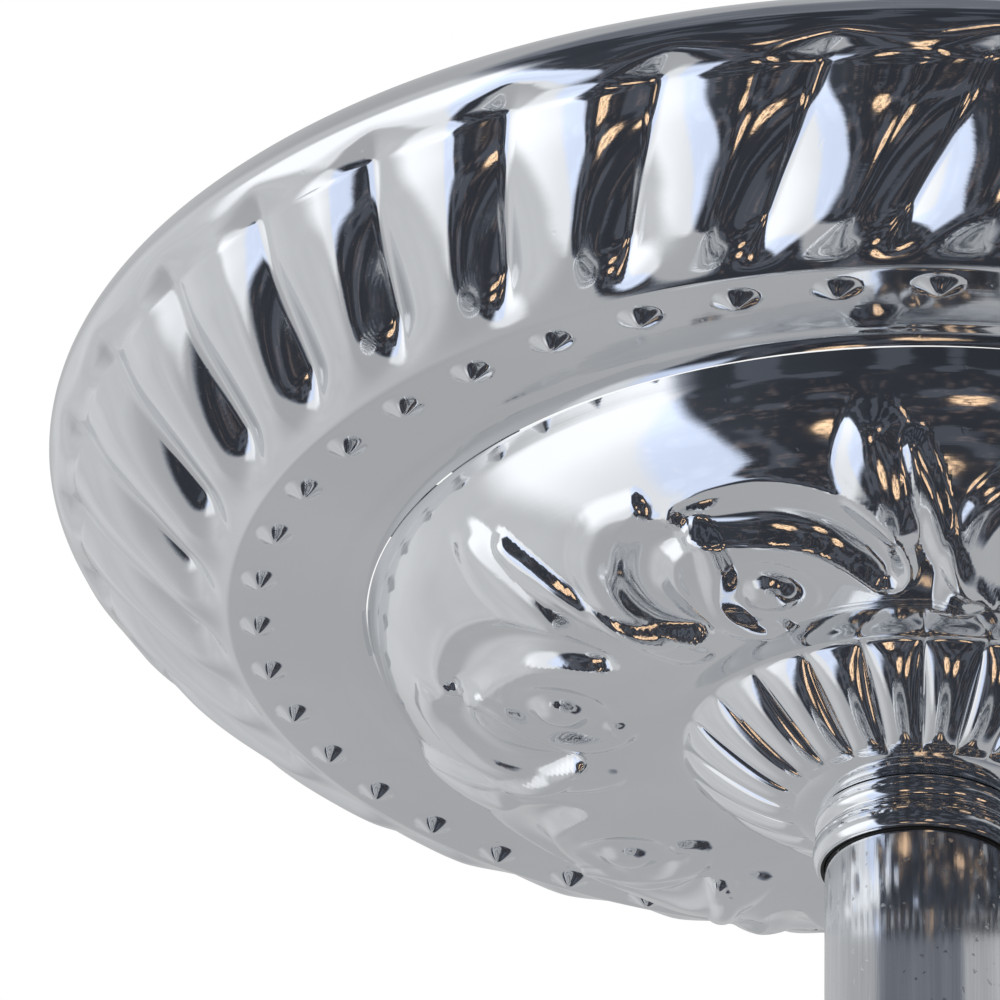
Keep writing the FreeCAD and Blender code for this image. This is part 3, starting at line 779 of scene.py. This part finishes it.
class LAMP_OT_rings(bpy.types.Operator):
    """Build the turned ring under the canopy, the one on the crown, and the seal"""
    bl_idname = "lamp.rings"
    bl_label = "Turned Rings"

    def execute(self, context):
        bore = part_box("stem_tube")[1].x + SLIDE_GAP
        low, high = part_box("canopy_ring")
        outline = ring_outline(high.z, low.z, bore, high.x)
        piece = spin_outline("canopy_ring_turned", outline, 192)
        finish_piece(piece, "collar", "chrome", "turned_chrome", "canopy_ring", crease=60.0)
        low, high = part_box("crown_ring")
        outline = ring_outline(low.z, high.z, bore, high.x)
        piece = spin_outline("crown_ring_turned", outline, 192)
        finish_piece(piece, "lamp", "chrome", "turned_chrome", "crown_ring", crease=60.0)
        low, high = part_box("ring_seal")
        inner = bore - 0.00003
        outline = rounded([(inner, high.z, 0), (high.x, high.z, 0.00005), (high.x, low.z, 0.0001),
                           (inner, low.z, 0.0001)])
        piece = spin_outline("ring_seal_turned", outline, 160)
        finish_piece(piece, "collar", "black_rubber", "black_rubber", "ring_seal")
        return {"FINISHED"}


class LAMP_OT_stem(bpy.types.Operator):
    """Build the stem tube and the bolt that holds the crown plate to it"""
    bl_idname = "lamp.stem"
    bl_label = "Stem"

    def execute(self, context):
        low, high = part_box("stem_tube")
        bore = high.x - TUBE_WALL
        corners = [(high.x, high.z, 0.0003), (high.x, low.z, 0.0002), (bore, low.z, 0.0001),
                   (bore, high.z, 0.0001)]
        piece = spin_outline("stem_tube_drawn", rounded(corners), 224)
        finish_piece(piece, "lamp", "chrome", "drawn_chrome", "stem_tube")
        low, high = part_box("crown_bolt")
        head_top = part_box("crown_plate")[0].z
        edge = head_top - 0.0012
        outline = [(0.0, high.z), (BOLT_R - 0.0005, high.z), (BOLT_R, high.z - 0.0005), (BOLT_R, head_top)]
        outline += rounded([(high.x, head_top, 0.0002), (high.x, edge, 0.0002)])
        for n in range(1, 13):
            a = math.pi / 2 * n / 12
            outline.append((high.x * math.cos(a), edge - (edge - low.z) * math.sin(a)))
        piece = spin_outline("crown_bolt_turned", outline, 96, closed=False)
        finish_piece(piece, "lamp", "chrome", "turned_chrome", "crown_bolt")
        return {"FINISHED"}


# ---- the cage -------------------------------------------------------------------
class LAMP_OT_cage(bpy.types.Operator):
    """Build the two plates, the three rods and the gallery ring"""
    bl_idname = "lamp.cage"
    bl_label = "Cage"

    def execute(self, context):
        for node, hole in PLATE_HOLES.items():
            low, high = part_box(node)
            edge = (high.z - low.z) * 0.45
            outline = rounded([(hole, high.z, 0.0), (high.x - 0.004, high.z, 0.0), (high.x, high.z, edge),
                               (high.x, low.z, edge), (high.x - 0.004, low.z, 0.0), (hole, low.z, 0.0)])
            piece = spin_outline(node + "_turned", outline, 288)
            finish_piece(piece, "lamp", "chrome", "turned_chrome", node)
        for k in (1, 2, 3):
            node = "cage_rod_%d" % k
            low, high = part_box(node)
            centre = (low + high) / 2
            radius = (high.x - low.x) / 2
            corners = [(radius, high.z, 0.0005), (radius, low.z, 0.0005), (ROD_BORE_R, low.z, 0.0002),
                       (ROD_BORE_R, high.z, 0.0002)]
            piece = spin_outline(node + "_drawn", rounded(corners), 96, centre=(centre.x, centre.y))
            finish_piece(piece, "lamp", "chrome", "turned_chrome", node)
        low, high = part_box("gallery_ring")
        inner = high.x - GALLERY_WALL
        tall = high.z - low.z
        corners = [(inner, high.z, 0.0005), (high.x - 0.0007, high.z, 0.0006),
                   (high.x, high.z - 0.0010, 0.0005), (high.x - 0.0005, high.z - 0.0024, 0.0004),
                   (high.x - 0.0005, low.z + tall * 0.34, 0.0004), (high.x, low.z + tall * 0.22, 0.0005),
                   (high.x, low.z, 0.0003), (inner, low.z, 0.0001)]
        piece = spin_outline("gallery_ring_turned", rounded(corners), 256)
        finish_piece(piece, "lamp", "chrome", "turned_chrome", "gallery_ring", crease=60.0)
        return {"FINISHED"}


# ---- the glass, the candle sleeve and the bulb -----------------------------------
class LAMP_OT_glass(bpy.types.Operator):
    """Blow the ruby glass with its thick wall and fire-polished lip"""
    bl_idname = "lamp.glass"
    bl_label = "Ruby Glass"

    def execute(self, context):
        low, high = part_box("ruby_glass")
        wall, foot, belly, mouth = GLASS_WALL, GLASS_FOOT_R, high.x, GLASS_MOUTH_R
        lip = high.z - wall / 2
        tall = lip - low.z
        line = smooth_through([(foot, low.z + 0.009), (foot + 0.0015, low.z + tall * 0.16),
                               (belly - 0.0006, low.z + tall * 0.32), (belly, low.z + tall * 0.45),
                               (belly - 0.0007, low.z + tall * 0.62), (mouth + 0.0033, low.z + tall * 0.83),
                               (mouth, lip)], 56)
        outer = [(foot, low.z + 0.0006)] + [tuple(p) for p in line]
        inner = [(r - wall, z) for r, z in outer]
        lip_round = [(mouth - wall / 2 + wall / 2 * math.cos(a), lip + wall / 2 * math.sin(a))
                     for a in np.linspace(0, math.pi, 12)[1:-1]]
        outline = [(foot - 0.0006, low.z)] + outer + lip_round + inner[::-1] + [(foot - wall + 0.0006, low.z)]
        piece = spin_outline("ruby_glass_blown", outline, 256)
        finish_piece(piece, "glass", "ruby_glass", "ruby_glass", "ruby_glass", crease=70.0)
        return {"FINISHED"}


DRIPS = ((10, 14, 5), (48, 26, 4), (80, 9, 6), (131, 31, 5), (170, 12, 4), (205, 20, 6), (251, 16, 4),
         (288, 28, 5), (330, 10, 6))            # degrees round, length and half width in millimetres


class LAMP_OT_candle(bpy.types.Operator):
    """Build the candle sleeve with wax drips down it"""
    bl_idname = "lamp.candle"
    bl_label = "Candle Sleeve"

    def execute(self, context):
        low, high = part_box("candle_sleeve")
        wall = SLEEVE_WALL
        heights = np.linspace(low.z, high.z - 0.0006, 50)
        outline = [(high.x, z) for z in heights] + [(high.x - 0.0003, high.z - 0.0001),
                                                    (high.x - wall / 2, high.z),
                                                    (high.x - wall, high.z - 0.0004), (high.x - wall, low.z)]
        piece = spin_outline("candle_sleeve_moulded", outline, 240)
        mesh = piece.data
        for vertex in mesh.vertices:
            r = math.hypot(vertex.co.x, vertex.co.y)
            if r < high.x - wall / 2:
                continue
            down = (high.z - vertex.co.z) / MM
            turn = math.degrees(math.atan2(vertex.co.y, vertex.co.x)) % 360
            raise_by = 0.0
            for at, length, half in DRIPS:
                across = ((turn - at + 180) % 360 - 180) * math.pi / 180 * high.x / MM / half * 1.6
                along = max(0.0, down - length) / (half * 0.5)
                raise_by = max(raise_by, max(0.0, 1 - across ** 2 - along ** 2) ** 0.6)
            grow = 1 + raise_by * 0.0009 / high.x
            vertex.co.x *= grow
            vertex.co.y *= grow
        finish_piece(piece, "lamp", "ivory_sleeve", "ivory_sleeve", "candle_sleeve", crease=70.0)
        return {"FINISHED"}


class LAMP_OT_bulb(bpy.types.Operator):
    """Build the bulb: its threaded cap, opal envelope and filament"""
    bl_idname = "lamp.bulb"
    bl_label = "Bulb"

    def execute(self, context):
        low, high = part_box("bulb_cap")
        radius = high.x
        outline = [(0.0, low.z), (0.0026, low.z), (0.003, low.z + 0.0006), (0.0046, low.z + 0.0025)]
        for n in range(61):
            z = low.z + 0.004 + (high.z - low.z - 0.006) * n / 60
            outline.append((radius - 0.0004 + 0.0004 * math.sin((z - low.z) / 0.0035 * 2 * math.pi), z))
        outline += [(radius, high.z - 0.001), (radius, high.z), (0.0, high.z)]
        piece = spin_outline("bulb_cap_rolled", outline, 96, closed=False)
        finish_piece(piece, "bulb", "brass", "brass", "bulb_cap")
        low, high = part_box("bulb_glass")
        neck = radius + 0.0004
        wide = high.x
        tall = high.z - low.z
        line = [tuple(p) for p in smooth_through(
            [(neck, low.z), (neck + 0.0001, low.z + 0.004), (wide * 0.78, low.z + tall * 0.20),
             (wide, low.z + tall * 0.38), (wide * 0.88, low.z + tall * 0.60),
             (wide * 0.50, low.z + tall * 0.82), (wide * 0.20, low.z + tall * 0.955), (0.0, high.z)], 60)]
        inner = [(max(0.0, r - BULB_WALL), z) for r, z in line[:-1]] + [(0.0, high.z - BULB_WALL)]
        piece = spin_outline("bulb_glass_blown", inner[::-1] + line, 128, closed=False)
        finish_piece(piece, "bulb", "opal_glass", "opal_glass", "bulb_glass", crease=60.0)
        piece = from_node("bulb_filament", bevel=0)
        finish_piece(piece, "bulb", "filament", "filament", "bulb_filament")
        return {"FINISHED"}


# ---- the finial -----------------------------------------------------------------
class LAMP_OT_finial(bpy.types.Operator):
    """Turn the finial: a cap, a neck, a ball and a pointed drop"""
    bl_idname = "lamp.finial"
    bl_label = "Finial"

    def execute(self, context):
        low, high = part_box("finial")
        wide = high.x
        tall = high.z - low.z
        shape = [(0.62, 0.0), (0.70, 0.012), (0.72, 0.05), (0.66, 0.085), (0.46, 0.105), (0.44, 0.135),
                 (0.60, 0.165), (0.86, 0.24), (0.985, 0.34), (1.0, 0.42), (0.94, 0.52), (0.78, 0.62),
                 (0.56, 0.70), (0.36, 0.755), (0.30, 0.785), (0.37, 0.81), (0.41, 0.85), (0.37, 0.895),
                 (0.27, 0.94), (0.12, 0.985), (0.0, 1.0)]
        line = smooth_through([(wide * r, high.z - tall * d) for r, d in shape], 150)
        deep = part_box("centre_tube")[0].z
        outline = [(0.0, deep), (FINIAL_BORE_R, deep), (FINIAL_BORE_R, high.z)] + [tuple(p) for p in line]
        piece = spin_outline("finial_turned", outline, 160, closed=False)
        finish_piece(piece, "finial", "chrome", "turned_chrome", "finial", crease=65.0)
        return {"FINISHED"}


# ---- what holds the lamp to the ceiling, and the small parts ----------------------
CARRIED = [                                     # node, slot and finish, and the width of its eased edges
    ("ceiling_strap", "zinc_steel", 0.0003), ("strap_nuts", "zinc_steel", 0.0003),
    ("strap_lock_washer", "zinc_steel", 0.0002), ("top_nipple", "zinc_steel", 0.0003),
    ("terminal_block", "terminal_plastic", 0.0005), ("terminal_screws", "brass", 0.0002),
    ("earth_screw", "brass", 0.0002), ("stem_top_plug", "brass", 0.0003),
    ("stem_bottom_plug", "brass", 0.0003), ("rod_top_nuts", "zinc_steel", 0.0003),
    ("rod_bottom_nuts", "zinc_steel", 0.0003), ("gallery_nuts", "zinc_steel", 0.0003),
    ("centre_tube", "zinc_steel", 0.0003), ("glass_gasket", "black_rubber", 0.0004),
    ("lead_grommet", "black_rubber", 0.0002), ("lampholder_body", "holder_plastic", 0.0006),
    ("lampholder_shell", "brass", 0.0003), ("supply_lead", "lead_sheath", 0.0002),
]


class LAMP_OT_small_parts(bpy.types.Operator):
    """Ease the edges of the strap, nuts, terminals, lampholder and lead, and give them their finishes"""
    bl_idname = "lamp.small_parts"
    bl_label = "Small Parts"

    def execute(self, context):
        for node, finish, bevel in CARRIED:
            piece = from_node(node, bevel)
            finish_piece(piece, NODE_BODY[node], finish, finish, node)
        return {"FINISHED"}


# ---- the stage --------------------------------------------------------------------
def aim_camera(settings):
    """The camera looks up at the canopy, whose middle is right of and under the middle of the view."""
    middle = Vector((0, 0, CANOPY_Z))
    look = Vector((0, math.cos(settings.elevation), math.sin(settings.elevation)))
    right = Vector((1, 0, 0))
    up = right.cross(look)
    level = Matrix((right, -up, look))
    c, s = math.cos(settings.roll), math.sin(settings.roll)
    roll = Matrix(((c, -s, 0), (s, c, 0), (0, 0, 1)))
    aim = Vector((settings.aim_right, settings.aim_down, 1)).normalized()
    turn = Vector((0, 0, 1)).rotation_difference(aim).to_matrix()
    rows = turn @ roll @ level
    axes = Matrix((rows[0], -rows[1], -rows[2])).transposed()
    data = bpy.data.cameras.new("camera")
    data.lens = settings.lens
    data.sensor_width = 36.0
    data.clip_start = 0.01
    camera = bpy.data.objects.new("camera", data)
    bpy.context.scene.collection.objects.link(camera)
    camera.matrix_world = Matrix.Translation(middle - look * settings.distance) @ axes.to_4x4()
    bpy.context.scene.camera = camera


def toward(parts, x, y, z):
    """How far the looked-at direction points to a place in the room: 1 is straight at it."""
    size = math.sqrt(sum(k * k for k in parts))
    return x * (parts[0] / size) + y * (parts[1] / size) + z * (parts[2] / size)


LAMPS = [                                       # warm lamps of the dark side, and the cosine of their size
    ((0.02, -0.38, -0.92), 0.9965), ((0.30, -0.30, -0.91), 0.9970), ((-0.22, -0.62, -0.76), 0.9975),
    ((0.58, -0.45, -0.68), 0.9965), ((0.16, -0.80, -0.58), 0.9980), ((0.75, -0.10, -0.65), 0.9970),
]


def light_room():
    """The room that the chrome mirrors: a grey back, a light left side, a white soft box at the front
    left, and a dark front with warm lamps in it. What is seen directly is plain white."""
    world = bpy.data.worlds.new("studio")
    bpy.context.scene.world = world
    s = Shader(world)
    where = s.out(s.node("TexCoord"), "Generated")
    x, y, z = s.parts(where)
    haze = s.noise(where, 3.0, 3.0, 0.5)
    level = 0.435 + haze * 0.03
    left = (-x).step(0.30, 0.62) * z.step(-0.93, -0.60)
    level = level + left * (0.08 + haze * 0.16) * z.step(0.5, 0.2)
    level = level + z.step(-0.30, 0.15) * y.step(-0.2, 0.5) * 0.08
    shade = toward((0.06, -0.76, -0.65), x, y, z).step(0.56, 0.63)
    side = toward((0.80, -0.20, -0.60), x, y, z).step(0.62, 0.74)
    front = toward((0.0, -1.0, 0.30), x, y, z).step(0.56, 0.70)
    dark = 1 - (1 - shade) * (1 - side) * (1 - front * (1 - z.step(0.34, 0.46) * 0.36))
    level = level * (1 - dark * (0.94 - haze * 0.06))
    azimuth = (-x).angle(-y)
    box = azimuth.step(0.80, 0.88) * azimuth.step(1.72, 1.50) * z.step(-0.88, -0.80) * z.step(0.05, -0.10)
    level = level * (1 - box) + box * (0.92 + z.step(-0.75, -0.3) * 0.3)
    panels = s.noise(where, 7.0, 1.0, 0.3).step(0.55, 0.60) * dark
    clutter = s.noise(where, 26.0, 2.0, 0.6).step(0.58, 0.66) * dark * z.step(-0.2, -0.5)
    blue = s.mix(dark, (0.985, 0.995, 1.01, 1.0), (0.84, 0.94, 1.16, 1.0))
    light = s.out(s.node("VectorMath", {"operation": "SCALE"}, n0=blue, n3=level + panels * 0.055))
    brown = s.out(s.node("VectorMath", {"operation": "SCALE"}, n0=(0.11, 0.078, 0.066), n3=clutter))
    light = s.out(s.node("VectorMath", {"operation": "ADD"}, n0=light, n1=brown))
    glow = None
    for direction, size in LAMPS:
        spot = toward(direction, x, y, z).step(size - 0.0012, size + 0.0004)
        glow = spot if glow is None else glow + spot
    glow = glow * s.noise(where, 48.0, 2.0, 0.6).step(0.40, 0.56)
    flame = s.out(s.node("VectorMath", {"operation": "SCALE"}, n0=(1.7, 1.12, 0.66), n3=glow))
    light = s.out(s.node("VectorMath", {"operation": "ADD"}, n0=light, n1=flame))
    seen = s.out(s.node("LightPath"), "Is Camera Ray")
    room = s.node("Background", Color=light, Strength=1.0)
    plain = s.node("Background", Color=(1.0, 1.0, 1.0, 1.0), Strength=1.0)
    both = s.node("MixShader", n0=seen, n1=s.out(room), n2=s.out(plain))
    s.node("OutputWorld", Surface=s.out(both))


class LAMP_OT_stage(bpy.types.Operator):
    """Set the camera, the floor and the soft studio light"""
    bl_idname = "lamp.stage"
    bl_label = "Stage"

    def execute(self, context):
        settings = context.scene.lamp_studio
        context.scene.view_settings.view_transform = "Standard"
        aim_camera(settings)
        light_room()
        bpy.ops.object.select_all(action="DESELECT")
        bpy.ops.mesh.primitive_plane_add(size=24.0, location=(0, 0, -settings.floor_drop))
        floor = context.active_object
        floor.name = "floor"
        floor.data.materials.append(material("floor", FINISHES["floor"]))
        floor.visible_glossy = False
        return {"FINISHED"}


PIECES = (LAMP_OT_pans, LAMP_OT_rings, LAMP_OT_stem, LAMP_OT_cage, LAMP_OT_glass, LAMP_OT_candle,
          LAMP_OT_bulb, LAMP_OT_finial, LAMP_OT_small_parts, LAMP_OT_stage)
SETTINGS = (("lamp_pressing", PressingSettings), ("lamp_finish", FinishSettings),
            ("lamp_studio", StudioSettings))


class LAMP_PT_panel(bpy.types.Panel):
    """Lists the lamp's pieces"""
    bl_idname = "LAMP_PT_panel"
    bl_label = "Sanctuary Lamp"
    bl_space_type = "VIEW_3D"
    bl_region_type = "UI"
    bl_category = "Lamp"

    def draw(self, context):
        for operator in PIECES:
            self.layout.operator(operator.bl_idname)
        for name, group in SETTINGS:
            box = self.layout.box()
            for key in group.__annotations__:
                box.prop(getattr(context.scene, name), key)


def register():
    """Registers the settings, the operators and the panel."""
    for name, group in SETTINGS:
        bpy.utils.register_class(group)
        setattr(bpy.types.Scene, name, bpy.props.PointerProperty(type=group))
    for operator in PIECES:
        bpy.utils.register_class(operator)
    bpy.utils.register_class(LAMP_PT_panel)


def unregister():
    """Takes off what register put on."""
    bpy.utils.unregister_class(LAMP_PT_panel)
    for operator in reversed(PIECES):
        bpy.utils.unregister_class(operator)
    for name, group in reversed(SETTINGS):
        delattr(bpy.types.Scene, name)
        bpy.utils.unregister_class(group)


def main():
    """Builds every piece and the stage."""
    register()
    for operator in PIECES:
        group, name = operator.bl_idname.split(".")
        getattr(getattr(bpy.ops, group), name)()


if __name__ == "__main__":
    main()
